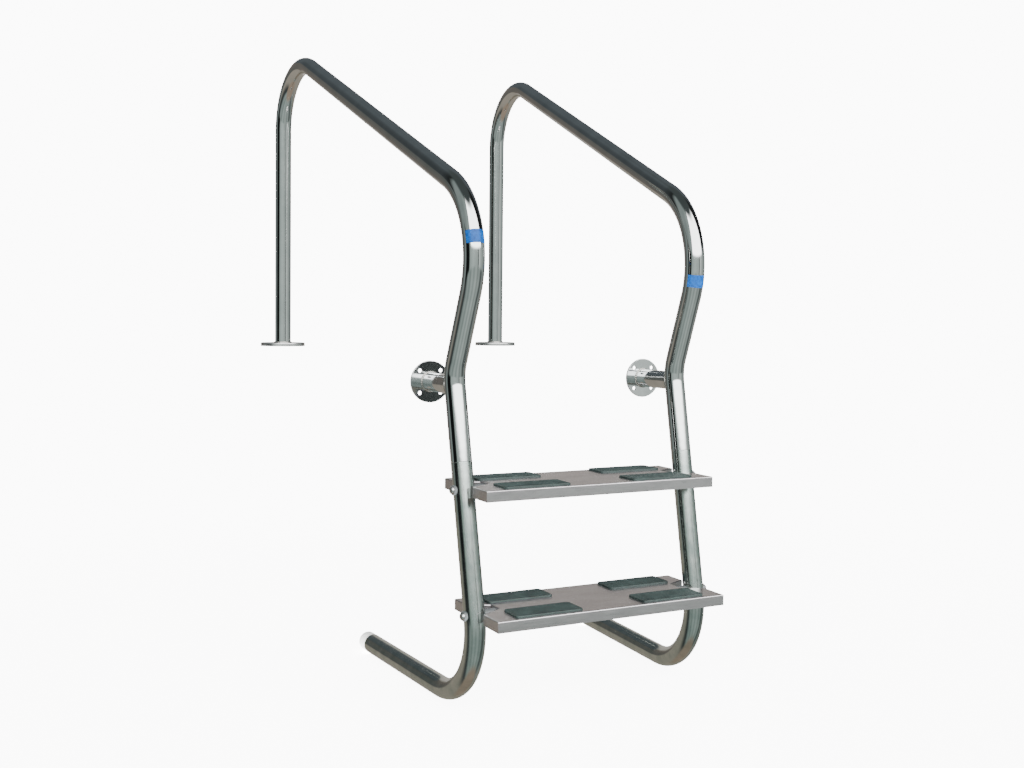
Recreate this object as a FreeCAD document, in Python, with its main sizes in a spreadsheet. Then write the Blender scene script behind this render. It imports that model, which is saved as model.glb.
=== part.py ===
"""Two-tread stainless pool ladder for a raised-edge pool, in millimetres.

X runs across the ladder, -Y points out over the water and +Z is up. The origin lies on the deck,
midway between the two handrail posts. Each side (a "stringer") is drawn in its own frame: origin on
its post at deck level, X square to the stringer, -Y towards the water. The two stringers are turned
in plan by the splay angle, so the posts on the deck stand further apart than the legs do.
"""
import FreeCAD, Part
import math
import os
import Sketcher

DIMENSIONS = {
    # Tube of both stringers, and how the two stringers stand to each other
    "tube_od": 43.0,
    "tube_wall": 1.5,
    "leg_spacing": 528.0,      # between tube centres at the knees
    "splay_angle": 3.5,
    # Corners of the stringer's centre line: reach is towards the water, drop is below the deck
    "rail_height": 825.0,
    "front_height": 287.0,
    "front_ahead": 134.0,      # of the knee
    "knee_reach": 1034.0,
    "knee_drop": 30.0,
    "foot_ahead": 128.0,       # of the knee
    "foot_below": 190.0,       # the lower tread
    "tail_length": 527.0,
    "top_bend": 150.0,
    "front_bend": 180.0,
    "knee_bend": 90.0,
    "foot_bend": 145.0,
    # Sleeved joint between handrail and leg
    "joint_rise": 41.0,        # above the upper tread
    "spigot_length": 90.0,
    "spigot_wall": 3.0,
    "sleeve_clearance": 0.05,
    "grub_diameter": 6.0,
    "grub_length": 5.5,
    "grub_offset": 25.0,
    # Deck flange
    "deck_diameter": 120.0,
    "deck_thick": 10.0,
    "deck_circle": 90.0,
    "deck_hole": 11.0,
    "deck_edge": 3.0,
    # Wall anchor
    "wall_behind": 127.0,      # the knee
    "wall_below": 23.0,        # the knee
    "wall_diameter": 88.0,
    "wall_thick": 4.0,
    "wall_circle": 66.0,
    "wall_hole": 9.0,
    "wall_edge": 1.0,
    "standoff_od": 40.0,
    "standoff_wall": 2.0,
    # Treads
    "upper_drop": 246.0,
    "tread_rise": 238.0,       # from tread to tread
    "tread_depth": 200.0,
    "tread_forward": 6.0,      # how far the tread's middle lies in front of the leg
    "tread_height": 22.0,
    "sheet": 1.5,
    "fold_radius": 2.5,
    "notch_depth": 46.0,
    "notch_mouth": 84.0,
    "notch_floor": 36.0,
    # Rubber pads
    "pad_length": 145.0,
    "pad_depth": 62.0,
    "pad_thick": 4.0,
    "pad_corner": 8.0,
    "pad_edge": 1.0,
    "pad_end_inset": 44.0,
    "pad_front_inset": 8.0,
    "pad_rear_inset": 6.0,
    # Tread fixings
    "bolt_drop": 11.0,
    "bolt_diameter": 8.0,
    "bolt_clearance": 0.3,
    "head_diameter": 16.0,
    "head_height": 6.0,
    "saddle_diameter": 20.0,
    "saddle_thick": 3.0,
    "spacer_diameter": 18.0,
    "washer_diameter": 16.0,
    "washer_thick": 1.6,
    "nut_across": 13.0,
    "nut_height": 6.5,
    "thread_end": 3.0,
    # End caps and labels
    "cap_step": 0.5,           # from the tube's outer face in to the cap's
    "cap_length": 38.0,
    "cap_plug": 25.0,
    "cap_round": 10.0,
    "label_height": 24.0,
    "label_thick": 0.3,
    "label_wrap": 68.0,        # half the angle that the label covers
    "left_label_turn": 35.0,   # from the lower end of the front bend
    "right_label_turn": 13.0,
}

SIDES = {"left": -1, "right": 1}
UPPER_DROP = "dims.upper_drop"
LOWER_DROP = "(dims.upper_drop + dims.tread_rise)"
TREADS = {"upper": UPPER_DROP, "lower": LOWER_DROP}

FRONT_REACH = "(dims.knee_reach + dims.front_ahead)"
FOOT_REACH = "(dims.knee_reach + dims.foot_ahead)"
FOOT_DROP = "(%s + dims.foot_below)" % LOWER_DROP
TAIL_REACH = "(%s - dims.tail_length)" % FOOT_REACH
JOINT_DROP = "(dims.upper_drop - dims.joint_rise)"
WALL_REACH = "(dims.knee_reach - dims.wall_behind)"
WALL_DROP = "(dims.knee_drop + dims.wall_below)"
LEG_SLOPE = "(dims.foot_ahead / (%s - dims.knee_drop))" % FOOT_DROP

TUBE_RADIUS = "dims.tube_od / 2"
BORE_RADIUS = "(dims.tube_od / 2 - dims.tube_wall)"
BOLT_HOLE_RADIUS = "(dims.bolt_diameter / 2 + dims.bolt_clearance)"

AXIS_X = FreeCAD.Vector(1, 0, 0)
AXIS_Y = FreeCAD.Vector(0, 1, 0)
AXIS_Z = FreeCAD.Vector(0, 0, 1)

doc = FreeCAD.newDocument("PoolLadder")
sheet = doc.addObject("Spreadsheet::Sheet", "dims")
nodes = {}


def fill_sheet():
    """Each driving dimension gets its own row: name in A, value in B, alias on B."""
    for row, (alias, amount) in enumerate(DIMENSIONS.items(), 1):
        sheet.set("A%d" % row, alias)
        sheet.set("B%d" % row, str(amount))
        sheet.setAlias("B%d" % row, alias)
    doc.recompute()


def number(expression):
    return float(sheet.evalExpression(expression))


def leg_reach(drop):
    """How far the leg's centre line is from the post, at a depth below the deck."""
    return "(dims.knee_reach + (%s - dims.knee_drop) * %s)" % (drop, LEG_SLOPE)


def bolt_level(tread_drop):
    return "(%s + dims.bolt_drop)" % tread_drop


def half_span(reach):
    """Half the distance between the two tubes' centres, at a reach along the stringers."""
    return "(dims.leg_spacing / 2 + (dims.knee_reach - %s) * sin(dims.splay_angle))" % reach


def lean_angle():
    return math.degrees(math.atan(number(LEG_SLOPE)))


# ---------------------------------------------------------------- places

def move(x, y, z):
    return FreeCAD.Placement(FreeCAD.Vector(x, y, z), FreeCAD.Rotation())


def turn(axis, degrees):
    return FreeCAD.Placement(FreeCAD.Vector(), FreeCAD.Rotation(axis, degrees))


def stringer_frame(side):
    return move(side * number(half_span("0")), 0, 0) * turn(AXIS_Z, -side * number("dims.splay_angle"))


def leg_frame(side, drop):
    """On the leg's centre line at a depth, +Z up along the leg and -X towards the ladder's middle."""
    place = stringer_frame(side) * move(0, -number(leg_reach(drop)), -number(drop))
    place = place * turn(AXIS_X, -lean_angle())
    if side < 0:
        place = place * turn(AXIS_Z, 180)
    return place


# ---------------------------------------------------------------- sketches

def new_body(name):
    return doc.addObject("PartDesign::Body", name)


def origin_plane(body, role):
    return next(feature for feature in body.Origin.OriginFeatures if feature.Role == role)


def new_sketch(body, name, plane):
    sketch = body.newObject("Sketcher::SketchObject", name)
    sketch.AttachmentSupport = [(origin_plane(body, plane), "")]
    sketch.MapMode = "FlatFace"
    return sketch


def constrain(sketch, constraint, expression):
    index = sketch.addConstraint(constraint)
    sketch.setExpression("Constraints[%d]" % index, expression)


def pin(sketch, geometry, end, axis, expression):
    """Holds one coordinate of a point at an expression measured from the sketch's origin."""
    amount = number(expression)
    if abs(amount) < 1e-9:
        sketch.addConstraint(Sketcher.Constraint("PointOnObject", geometry, end, -2 if axis == "X" else -1))
    elif amount > 0:
        constrain(sketch, Sketcher.Constraint("Distance" + axis, -1, 1, geometry, end, amount), expression)
    else:
        constrain(sketch, Sketcher.Constraint("Distance" + axis, geometry, end, -1, 1, -amount),
                  "-(%s)" % expression)


def add_circle(sketch, radius, x="0", y="0"):
    centre = FreeCAD.Vector(number(x), number(y), 0)
    circle = sketch.addGeometry(Part.Circle(centre, AXIS_Z, number(radius)))
    pin(sketch, circle, 3, "X", x)
    pin(sketch, circle, 3, "Y", y)
    constrain(sketch, Sketcher.Constraint("Radius", circle, number(radius)), radius)


def add_polygon(sketch, corners):
    points = [FreeCAD.Vector(number(x), number(y), 0) for x, y in corners]
    count = len(points)
    lines = [sketch.addGeometry(Part.LineSegment(points[i], points[(i + 1) % count])) for i in range(count)]
    for i, (x, y) in enumerate(corners):
        sketch.addConstraint(Sketcher.Constraint("Coincident", lines[i - 1], 2, lines[i], 1))
        pin(sketch, lines[i], 1, "X", x)
        pin(sketch, lines[i], 1, "Y", y)


def bend_points(before, corner, after, radius):
    """Centre, entry and exit of the arc that rounds a corner of a centre line."""
    back = (before - corner).normalize()
    ahead = (after - corner).normalize()
    half = math.acos(back.dot(ahead)) / 2
    setback = radius / math.tan(half)
    centre = corner + (back + ahead).normalize() * (radius / math.sin(half))
    return centre, corner + back * setback, corner + ahead * setback


def add_centre_line(sketch, start, corners, aim, end_height):
    """Straight runs joined by tangent arcs.

    start and aim are (y, z) expressions and each corner is (y, z, radius). The last run points from
    the last corner to the aim point and stops at end_height.
    """
    points = [FreeCAD.Vector(number(y), number(z), 0) for y, z in [start] + [c[:2] for c in corners] + [aim]]
    lines = []
    arcs = []
    run_start = points[0]
    for i, corner in enumerate(corners, 1):
        radius = number(corner[2])
        centre, entry, leave = bend_points(points[i - 1], points[i], points[i + 1], radius)
        turns_left = (entry - run_start).cross(leave - entry).z > 0
        first, last = (entry, leave) if turns_left else (leave, entry)
        first_angle = math.atan2(first.y - centre.y, first.x - centre.x)
        last_angle = math.atan2(last.y - centre.y, last.x - centre.x)
        if last_angle < first_angle:
            last_angle += 2 * math.pi
        lines.append(sketch.addGeometry(Part.LineSegment(run_start, entry)))
        circle = Part.Circle(centre, AXIS_Z, radius)
        arcs.append((sketch.addGeometry(Part.ArcOfCircle(circle, first_angle, last_angle)), turns_left))
        run_start = leave
    share = (number(end_height) - points[-2].y) / (points[-1].y - points[-2].y)
    run_end = points[-2] + (points[-1] - points[-2]) * share
    lines.append(sketch.addGeometry(Part.LineSegment(run_start, run_end)))

    pin(sketch, lines[0], 1, "X", start[0])
    pin(sketch, lines[0], 1, "Y", start[1])
    for i, (corner, (arc, turns_left)) in enumerate(zip(corners, arcs)):
        entry_end, leave_end = (1, 2) if turns_left else (2, 1)
        sketch.addConstraint(Sketcher.Constraint("Tangent", lines[i], 2, arc, entry_end))
        sketch.addConstraint(Sketcher.Constraint("Tangent", arc, leave_end, lines[i + 1], 1))
        constrain(sketch, Sketcher.Constraint("Radius", arc, number(corner[2])), corner[2])
        add_guide(sketch, points[i + 1], corner, lines[i:i + 2])
    add_guide(sketch, points[-1], aim, lines[-1:])
    pin(sketch, lines[-1], 2, "Y", end_height)


def add_guide(sketch, point, place, lines):
    """A construction point that the given lines run through."""
    guide = sketch.addGeometry(Part.Point(point), True)
    pin(sketch, guide, 1, "X", place[0])
    pin(sketch, guide, 1, "Y", place[1])
    for line in lines:
        sketch.addConstraint(Sketcher.Constraint("PointOnObject", guide, 1, line))


# ---------------------------------------------------------------- features

def pad(body, sketch, length, reverse=False, symmetric=False):
    feature = body.newObject("PartDesign::Pad", sketch.Name + "_pad")
    feature.Profile = sketch
    feature.setExpression("Length", length)
    feature.Reversed = reverse
    if symmetric:
        feature.SideType = "Symmetric"
    doc.recompute()
    return feature


def pocket(body, sketch, length, reverse=False, symmetric=False):
    """Cuts the sketch out of the body, and makes sure that something was cut."""
    before = body.Shape.Volume
    feature = body.newObject("PartDesign::Pocket", sketch.Name + "_cut")
    feature.Profile = sketch
    feature.setExpression("Length", length)
    feature.Reversed = reverse
    if symmetric:
        feature.SideType = "Symmetric"
    doc.recompute()
    require(feature.Shape.Volume < before - 0.1, "%s cuts nothing" % feature.Name)
    return feature


def pipe(body, section, centre_line):
    feature = body.newObject("PartDesign::AdditivePipe", centre_line.Name + "_pipe")
    feature.Profile = section
    feature.Spine = centre_line
    doc.recompute()
    length = centre_line.Shape.Length
    area = Part.Face(section.Shape.Wires, "Part::FaceMakerBullseye").Area
    require(abs(feature.Shape.Volume / (length * area) - 1) < 0.001, "%s has a wrong volume" % feature.Name)
    return feature


def fillet(body, base, edges, radius):
    feature = body.newObject("PartDesign::Fillet", base.Name + "_round")
    feature.Base = (base, edges)
    feature.setExpression("Radius", radius)
    doc.recompute()
    return feature


def mirror_across(body, uncut, cut):
    """Repeats a cut at the body's other end, and makes sure that both ends were cut."""
    feature = body.newObject("PartDesign::Mirrored", cut.Name + "_mirror")
    feature.Originals = [cut]
    feature.MirrorPlane = (origin_plane(body, "YZ_Plane"), [""])
    body.Tip = feature
    doc.recompute()
    cut_once = uncut.Shape.Volume - cut.Shape.Volume
    cut_twice = uncut.Shape.Volume - feature.Shape.Volume
    require(abs(cut_twice / cut_once - 2) < 0.001, "%s is cut at one end only" % body.Name)
    return feature


def flat_face_at(shape, height):
    return ["Face%d" % i for i, face in enumerate(shape.Faces, 1)
            if isinstance(face.Surface, Part.Plane) and abs(face.CenterOfMass.z - height) < 1e-6]


def circles_at(shape, axis, height):
    """Names of the full circular edges that lie square to an axis at a height along it."""
    return ["Edge%d" % i for i, edge in enumerate(shape.Edges, 1)
            if isinstance(edge.Curve, Part.Circle) and abs(edge.Length - 2 * math.pi * edge.Curve.Radius) < 1e-6
            and abs(edge.Curve.Axis.dot(axis)) > 0.999 and abs(edge.Curve.Center.dot(axis) - height) < 1e-6]


def upright_edges(shape):
    return ["Edge%d" % i for i, edge in enumerate(shape.Edges, 1)
            if abs(edge.tangentAt(edge.FirstParameter).z) > 0.999]


def require(condition, message):
    if not condition:
        raise RuntimeError(message)


def keep(name, item, place=None):
    """Registers a finished piece under its node name, in its place."""
    if place is not None:
        item.Placement = place
    item.Label = name
    nodes[name] = item


def keep_set(name, master, places):
    """One node that holds several separate copies of one fixing."""
    copies = []
    for place in places:
        copy = doc.addObject("App::Link", master.Name + "_copy")
        copy.LinkedObject = master
        copy.Placement = place
        copies.append(copy)
    group = doc.addObject("Part::Compound", name)
    group.Links = copies
    keep(name, group)


# ---------------------------------------------------------------- stringers

def handrail_centre_line(body):
    sketch = new_sketch(body, body.Name + "_line", "YZ_Plane")
    add_centre_line(
        sketch,
        start=("0", "dims.deck_thick"),
        corners=[
            ("0", "dims.rail_height", "dims.top_bend"),
            ("-" + FRONT_REACH, "dims.front_height", "dims.front_bend"),
            ("-dims.knee_reach", "-dims.knee_drop", "dims.knee_bend"),
        ],
        aim=("-" + FOOT_REACH, "-" + FOOT_DROP),
        end_height="-" + JOINT_DROP,
    )
    return sketch


def joint_hole_sketch(body, name, along_leg):
    """A sketch in the leg's middle plane, square to the grub screws, facing the wall side."""
    sketch = new_sketch(body, name, "XZ_Plane")
    reach = number(leg_reach(JOINT_DROP))
    sketch.AttachmentOffset = move(0, -number(JOINT_DROP), reach) * turn(AXIS_X, -lean_angle())
    add_circle(sketch, "dims.grub_diameter / 2", "0", along_leg)
    return sketch


def make_handrail(side_name, side):
    """Post, top bend, sloping rail, front bend and knee, down to the sleeved joint."""
    body = new_body(side_name + "_rail")
    line = handrail_centre_line(body)
    section = new_sketch(body, body.Name + "_section", "XY_Plane")
    section.setExpression("AttachmentOffset.Base.z", "dims.deck_thick")
    add_circle(section, TUBE_RADIUS)
    add_circle(section, BORE_RADIUS)
    doc.recompute()
    pipe(body, section, line)
    pocket(body, joint_hole_sketch(body, body.Name + "_grub", "dims.grub_offset"), TUBE_RADIUS + " + 1")
    keep(side_name + "_handrail", body, stringer_frame(side))


def make_rail_core(side_name, side):
    """The handrail's outside as a solid bar, which shapes the mouth of the stand-off tube."""
    body = new_body(side_name + "_core")
    line = handrail_centre_line(body)
    section = new_sketch(body, body.Name + "_section", "XY_Plane")
    section.setExpression("AttachmentOffset.Base.z", "dims.deck_thick")
    add_circle(section, TUBE_RADIUS)
    doc.recompute()
    pipe(body, section, line)
    body.Placement = stringer_frame(side)
    return body


def make_leg(side_name, side):
    """Leg, foot bend and the tail that runs back to the wall."""
    body = new_body(side_name + "_lower")
    line = new_sketch(body, body.Name + "_line", "YZ_Plane")
    add_centre_line(
        line,
        start=("-" + TAIL_REACH, "-" + FOOT_DROP),
        corners=[("-" + FOOT_REACH, "-" + FOOT_DROP, "dims.foot_bend")],
        aim=("-dims.knee_reach", "-dims.knee_drop"),
        end_height="-" + JOINT_DROP,
    )
    section = new_sketch(body, body.Name + "_section", "XZ_Plane")
    section.setExpression("AttachmentOffset.Base.z", TAIL_REACH)
    add_circle(section, TUBE_RADIUS, "0", "-" + FOOT_DROP)
    add_circle(section, BORE_RADIUS, "0", "-" + FOOT_DROP)
    doc.recompute()
    pipe(body, section, line)
    bolts = new_sketch(body, body.Name + "_bolts", "YZ_Plane")
    for tread_drop in TREADS.values():
        level = bolt_level(tread_drop)
        add_circle(bolts, BOLT_HOLE_RADIUS, "-" + leg_reach(level), "-" + level)
    doc.recompute()
    pocket(body, bolts, "dims.tube_od + 2", symmetric=True)
    pocket(body, joint_hole_sketch(body, body.Name + "_grub", "-dims.grub_offset"), TUBE_RADIUS + " + 1")
    keep(side_name + "_leg", body, stringer_frame(side))


def make_spigot(side_name, side):
    """Sleeve inside the joint; the grub screws on its wall side thread into it."""
    body = new_body(side_name + "_sleeve")
    outer = "(%s - dims.sleeve_clearance)" % BORE_RADIUS
    section = new_sketch(body, body.Name + "_section", "XY_Plane")
    add_circle(section, outer)
    add_circle(section, outer + " - dims.spigot_wall")
    doc.recompute()
    pad(body, section, "dims.spigot_length", symmetric=True)
    holes = new_sketch(body, body.Name + "_tapped", "XZ_Plane")
    add_circle(holes, "dims.grub_diameter / 2", "0", "dims.grub_offset")
    add_circle(holes, "dims.grub_diameter / 2", "0", "-dims.grub_offset")
    doc.recompute()
    pocket(body, holes, TUBE_RADIUS)
    keep(side_name + "_spigot", body, joint_frame(side))


def joint_frame(side):
    place = stringer_frame(side) * move(0, -number(leg_reach(JOINT_DROP)), -number(JOINT_DROP))
    return place * turn(AXIS_X, -lean_angle())


def make_joint_screws():
    """Socket grub screws, one above and one below each joint, flush with the tube's wall side."""
    master = new_body("grub_master")
    section = new_sketch(master, "grub_section", "XZ_Plane")
    section.setExpression("AttachmentOffset.Base.z", "-" + TUBE_RADIUS)
    add_circle(section, "dims.grub_diameter / 2")
    doc.recompute()
    pad(master, section, "dims.grub_length")
    socket = new_sketch(master, "grub_socket", "XZ_Plane")
    socket.setExpression("AttachmentOffset.Base.z", "-" + TUBE_RADIUS)
    across = "dims.grub_diameter / 4"
    corners = [("%s * cos(%d)" % (across, a), "%s * sin(%d)" % (across, a)) for a in range(30, 390, 60)]
    add_polygon(socket, corners)
    doc.recompute()
    pocket(master, socket, "dims.grub_length / 2", reverse=True)
    offset = number("dims.grub_offset")
    keep_set("joint_screws", master,
             [joint_frame(side) * move(0, 0, end * offset) for side in SIDES.values() for end in (1, -1)])


def make_end_cap(side_name, side):
    """Plastic foot that plugs the tail and rests against the pool wall."""
    body = new_body(side_name + "_foot")
    profile = new_sketch(body, body.Name + "_profile", "XY_Plane")
    plug_radius = "(%s - dims.sleeve_clearance)" % BORE_RADIUS
    head_radius = "(%s - dims.cap_step)" % TUBE_RADIUS
    add_polygon(profile, [
        ("0", "-dims.cap_plug"),
        (plug_radius, "-dims.cap_plug"),
        (plug_radius, "0"),
        (head_radius, "0"),
        (head_radius, "dims.cap_length"),
        ("0", "dims.cap_length"),
    ])
    doc.recompute()
    turned = body.newObject("PartDesign::Revolution", body.Name + "_turned")
    turned.Profile = profile
    turned.ReferenceAxis = (profile, ["V_Axis"])
    turned.Angle = 360
    doc.recompute()
    rim = circles_at(turned.Shape, AXIS_Y, number("dims.cap_length"))
    fillet(body, turned, rim, "dims.cap_round")
    place = stringer_frame(side) * move(0, -number(TAIL_REACH), -number(FOOT_DROP))
    keep(side_name + "_end_cap", body, place)


def make_label(side_name, side):
    """Thin band stuck round the outside of the front bend."""
    body = new_body(side_name + "_band")
    section = new_sketch(body, body.Name + "_section", "XY_Plane")
    arcs = []
    for radius in (TUBE_RADIUS, "(%s + dims.label_thick)" % TUBE_RADIUS):
        centre = FreeCAD.Vector(0, number("dims.front_bend"), 0)
        half = math.radians(number("dims.label_wrap"))
        circle = Part.Circle(centre, AXIS_Z, number(radius))
        arc = section.addGeometry(Part.ArcOfCircle(circle, math.pi / 2 - half, math.pi / 2 + half))
        pin(section, arc, 3, "X", "0")
        pin(section, arc, 3, "Y", "dims.front_bend")
        constrain(section, Sketcher.Constraint("Radius", arc, number(radius)), radius)
        pin(section, arc, 1, "X", "%s * sin(dims.label_wrap)" % radius)
        pin(section, arc, 2, "X", "-%s * sin(dims.label_wrap)" % radius)
        arcs.append(arc)
    inner, outer = arcs
    for end in (1, 2):
        points = [section.getPoint(inner, end), section.getPoint(outer, end)]
        line = section.addGeometry(Part.LineSegment(*points))
        section.addConstraint(Sketcher.Constraint("Coincident", inner, end, line, 1))
        section.addConstraint(Sketcher.Constraint("Coincident", outer, end, line, 2))
    doc.recompute()
    band = body.newObject("PartDesign::Revolution", body.Name + "_turned")
    band.Profile = section
    band.ReferenceAxis = (section, ["H_Axis"])
    band.setExpression("Angle", "dims.label_height / dims.front_bend * 180 / pi")
    band.Midplane = True
    doc.recompute()
    post_top = FreeCAD.Vector(0, number("dims.rail_height"), 0)
    front = FreeCAD.Vector(-number(FRONT_REACH), number("dims.front_height"), 0)
    knee = FreeCAD.Vector(-number("dims.knee_reach"), -number("dims.knee_drop"), 0)
    centre, _, bend_end = bend_points(post_top, front, knee, number("dims.front_bend"))
    end_angle = math.degrees(math.atan2(bend_end.y - centre.y, bend_end.x - centre.x))
    label_angle = end_angle - number("dims.%s_label_turn" % side_name)
    keep(side_name + "_label", body, stringer_frame(side) * move(0, centre.x, centre.y) * turn(AXIS_X, label_angle))


# ---------------------------------------------------------------- deck and wall flanges

def add_hole_circle(body, base, plane, hole, circle):
    """Four equal holes on a bolt circle, at 45 degrees to the flange's axes."""
    across = "dims.%s / 2 * sqrt(2) / 2" % circle
    holes = new_sketch(body, body.Name + "_holes", plane)
    add_circle(holes, "dims.%s / 2" % hole, across, across)
    doc.recompute()
    first = pocket(body, holes, "100", symmetric=True)
    pattern = body.newObject("PartDesign::PolarPattern", body.Name + "_pattern")
    pattern.Originals = [first]
    pattern.Axis = (holes, ["N_Axis"])
    pattern.Angle = 360
    pattern.Occurrences = 4
    body.Tip = pattern
    doc.recompute()
    removed_by_one = base.Shape.Volume - first.Shape.Volume
    removed = base.Shape.Volume - pattern.Shape.Volume
    require(abs(removed / removed_by_one - 4) < 0.001, "%s lacks holes" % body.Name)


def make_deck_flange(side_name, side):
    """Round plate welded under the post and bolted to the deck."""
    body = new_body(side_name + "_deck_plate")
    outline = new_sketch(body, body.Name + "_outline", "XY_Plane")
    add_circle(outline, "dims.deck_diameter / 2")
    doc.recompute()
    plate = pad(body, outline, "dims.deck_thick")
    rim = circles_at(plate.Shape, AXIS_Z, number("dims.deck_thick"))
    rounded = fillet(body, plate, rim, "dims.deck_edge")
    add_hole_circle(body, rounded, "XY_Plane", "deck_hole", "deck_circle")
    keep(side_name + "_deck_flange", body, move(side * number(half_span("0")), 0, 0))


def wall_frame(side):
    """On the pool wall's face, behind the knee of one stringer."""
    return move(side * number("dims.leg_spacing / 2"), -number(WALL_REACH), -number(WALL_DROP))


def make_wall_flange(side_name, side):
    """Round plate at the end of the stand-off tube, bolted to the pool wall."""
    body = new_body(side_name + "_wall_plate")
    outline = new_sketch(body, body.Name + "_outline", "XZ_Plane")
    add_circle(outline, "dims.wall_diameter / 2")
    doc.recompute()
    plate = pad(body, outline, "dims.wall_thick")
    rim = circles_at(plate.Shape, AXIS_Y, -number("dims.wall_thick"))
    rounded = fillet(body, plate, rim, "dims.wall_edge")
    add_hole_circle(body, rounded, "XZ_Plane", "wall_hole", "wall_circle")
    keep(side_name + "_wall_flange", body, wall_frame(side))


def make_standoff(side_name, side):
    """Short tube from the wall flange to the knee, its mouth coped round the handrail."""
    body = new_body(side_name + "_strut")
    section = new_sketch(body, body.Name + "_section", "XZ_Plane")
    section.setExpression("AttachmentOffset.Base.z", "dims.wall_thick")
    add_circle(section, "dims.standoff_od / 2")
    add_circle(section, "dims.standoff_od / 2 - dims.standoff_wall")
    doc.recompute()
    pad(body, section, "dims.wall_behind - dims.wall_thick")
    body.Placement = wall_frame(side)
    coped = doc.addObject("Part::Cut", side_name + "_standoff_cut")
    coped.Base = body
    coped.Tool = make_rail_core(side_name, side)
    keep(side_name + "_standoff", coped)


# ---------------------------------------------------------------- treads

def tread_frame(tread_drop):
    """Middle of the tread's top, on the line between the two legs at bolt height."""
    reach = number(leg_reach(bolt_level(tread_drop)))
    back = reach * math.cos(math.radians(number("dims.splay_angle")))
    return move(0, -back, -number(tread_drop))


def tread_half_length(tread_drop):
    return half_span(leg_reach(bolt_level(tread_drop)))


def make_tread(tread_name, tread_drop):
    """Pan folded from sheet: a flat top with a skirt all round, the end notches included."""
    body = new_body(tread_name + "_pan")
    half_length = tread_half_length(tread_drop)
    front = "-(dims.tread_depth / 2 + dims.tread_forward)"
    rear = "(dims.tread_depth / 2 - dims.tread_forward)"
    outline = new_sketch(body, body.Name + "_outline", "XY_Plane")
    add_polygon(outline, [("-" + half_length, front), (half_length, front),
                          (half_length, rear), ("-" + half_length, rear)])
    doc.recompute()
    block = pad(body, outline, "dims.tread_height", reverse=True)

    notch = new_sketch(body, body.Name + "_notch", "XY_Plane")
    notch.AttachmentOffset = move(number(half_length), 0, 0) * turn(AXIS_Z, -number("dims.splay_angle"))
    add_polygon(notch, [
        ("-dims.notch_depth", "-dims.notch_floor / 2"),
        ("0", "-dims.notch_mouth / 2"),
        ("dims.tube_od", "-dims.notch_mouth / 2"),
        ("dims.tube_od", "dims.notch_mouth / 2"),
        ("0", "dims.notch_mouth / 2"),
        ("-dims.notch_depth", "dims.notch_floor / 2"),
    ])
    doc.recompute()
    one_end = pocket(body, notch, "dims.tread_height + 1")
    both_ends = mirror_across(body, block, one_end)

    folded = body.newObject("PartDesign::Thickness", body.Name + "_sheet")
    folded.Base = (both_ends, flat_face_at(both_ends.Shape, -number("dims.tread_height")))
    folded.setExpression("Value", "dims.sheet")
    folded.Reversed = True
    folded.Join = "Intersection"
    doc.recompute()
    outside = fillet(body, folded, flat_face_at(folded.Shape, 0), "dims.fold_radius")
    inside = fillet(body, outside, flat_face_at(outside.Shape, -number("dims.sheet")),
                    "dims.fold_radius - dims.sheet")

    hole = new_sketch(body, body.Name + "_bolt", "YZ_Plane")
    hole.AttachmentOffset = move(0, 0, number(half_length)) * turn(AXIS_Y, -number("dims.splay_angle"))
    add_circle(hole, BOLT_HOLE_RADIUS, "0", "-dims.bolt_drop")
    doc.recompute()
    one_hole = pocket(body, hole, "2 * (dims.notch_depth + 2 * dims.sheet)", symmetric=True)
    mirror_across(body, inside, one_hole)
    keep(tread_name + "_tread", body, tread_frame(tread_drop))


def make_pads(tread_name, tread_drop):
    """Four rubber pads: two at the front edge, two at the rear edge."""
    middle_x = number(tread_half_length(tread_drop) + " - dims.pad_end_inset - dims.pad_length / 2")
    front_y = number("-dims.tread_depth / 2 - dims.tread_forward + dims.pad_front_inset + dims.pad_depth / 2")
    rear_y = number("dims.tread_depth / 2 - dims.tread_forward - dims.pad_rear_inset - dims.pad_depth / 2")
    for row, y in (("front", front_y), ("rear", rear_y)):
        for side_name, side in SIDES.items():
            body = new_body("%s_%s_%s_rubber" % (tread_name, row, side_name))
            outline = new_sketch(body, body.Name + "_outline", "XY_Plane")
            half_x = "dims.pad_length / 2"
            half_y = "dims.pad_depth / 2"
            add_polygon(outline, [("-" + half_x, "-" + half_y), (half_x, "-" + half_y),
                                  (half_x, half_y), ("-" + half_x, half_y)])
            doc.recompute()
            block = pad(body, outline, "dims.pad_thick")
            corners = fillet(body, block, upright_edges(block.Shape), "dims.pad_corner")
            fillet(body, corners, flat_face_at(corners.Shape, number("dims.pad_thick")), "dims.pad_edge")
            place = tread_frame(tread_drop) * move(side * middle_x, y, 0)
            keep("%s_pad_%s_%s" % (tread_name, row, side_name), body, place)


# ---------------------------------------------------------------- tread fixings
# Each is drawn with the leg's centre line on Z and the bolt on X, its head at +X outside the tube.

def turned_on_bolt(name, corners):
    """A body turned about the bolt's axis from an outline of (x, radius) corners."""
    body = new_body(name)
    profile = new_sketch(body, name + "_profile", "XY_Plane")
    add_polygon(profile, corners)
    doc.recompute()
    feature = body.newObject("PartDesign::Revolution", name + "_turned")
    feature.Profile = profile
    feature.ReferenceAxis = (profile, ["H_Axis"])
    feature.Angle = 360
    doc.recompute()
    return body, feature


def ring_on_bolt(name, near, far, radius):
    """A bush round the bolt, between two distances along it."""
    body, _ = turned_on_bolt(name, [(near, BOLT_HOLE_RADIUS), (far, BOLT_HOLE_RADIUS), (far, radius), (near, radius)])
    return body


def cope_to_tube(body):
    """Hollows a bush so that it seats on the round of the leg."""
    tube = new_sketch(body, body.Name + "_tube", "XY_Plane")
    add_circle(tube, TUBE_RADIUS)
    doc.recompute()
    pocket(body, tube, "dims.tube_od * 2", symmetric=True)


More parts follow.
